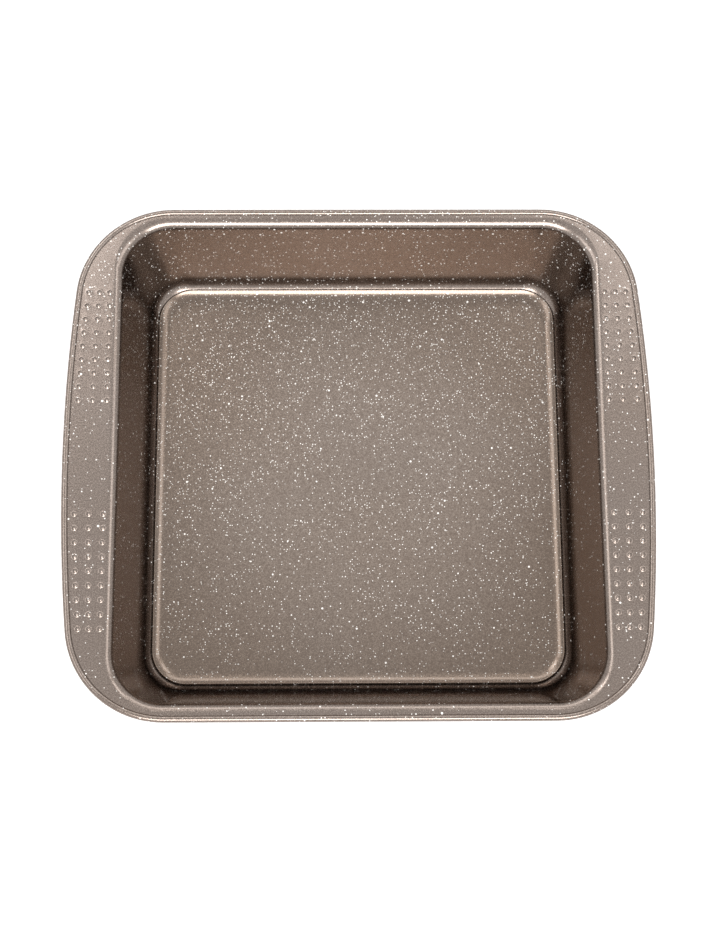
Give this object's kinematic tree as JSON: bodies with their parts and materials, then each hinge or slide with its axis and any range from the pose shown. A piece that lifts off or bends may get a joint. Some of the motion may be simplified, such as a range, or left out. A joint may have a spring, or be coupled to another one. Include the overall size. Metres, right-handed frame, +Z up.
{
  "type": "square baking tin with lift-out base",
  "caption": "Square drawn-steel baking tin with rounded corners, wide bumped handle wings, a wired rolled rim and a loose base plate that lifts out.",
  "frame": {"origin": "middle of the face that the tin rests on, under the centre of the floor", "axes": "+X across the two handle wings, +Y towards the back rim, +Z up out of the opening"},
  "size_m": [0.276, 0.247, 0.051],
  "materials": {
    "nonstick_coating": "satin taupe non-stick coating with a fine metallic grain and pale flecks",
    "nonstick_base": "satin taupe non-stick coating with a fine metallic grain and dense pale flecks",
    "wire_steel": "drawn bright wire"
  },
  "bodies": {
    "tin": {"pan_body": "nonstick_coating", "rim_wire": "wire_steel"},
    "base": {"loose_base": "nonstick_base"}
  },
  "joints": [
    {"name": "base_lift", "type": "slide", "parent": "tin", "child": "base", "axis": [0, 0, 1], "range_m": [0, 0.07]}
  ]
}
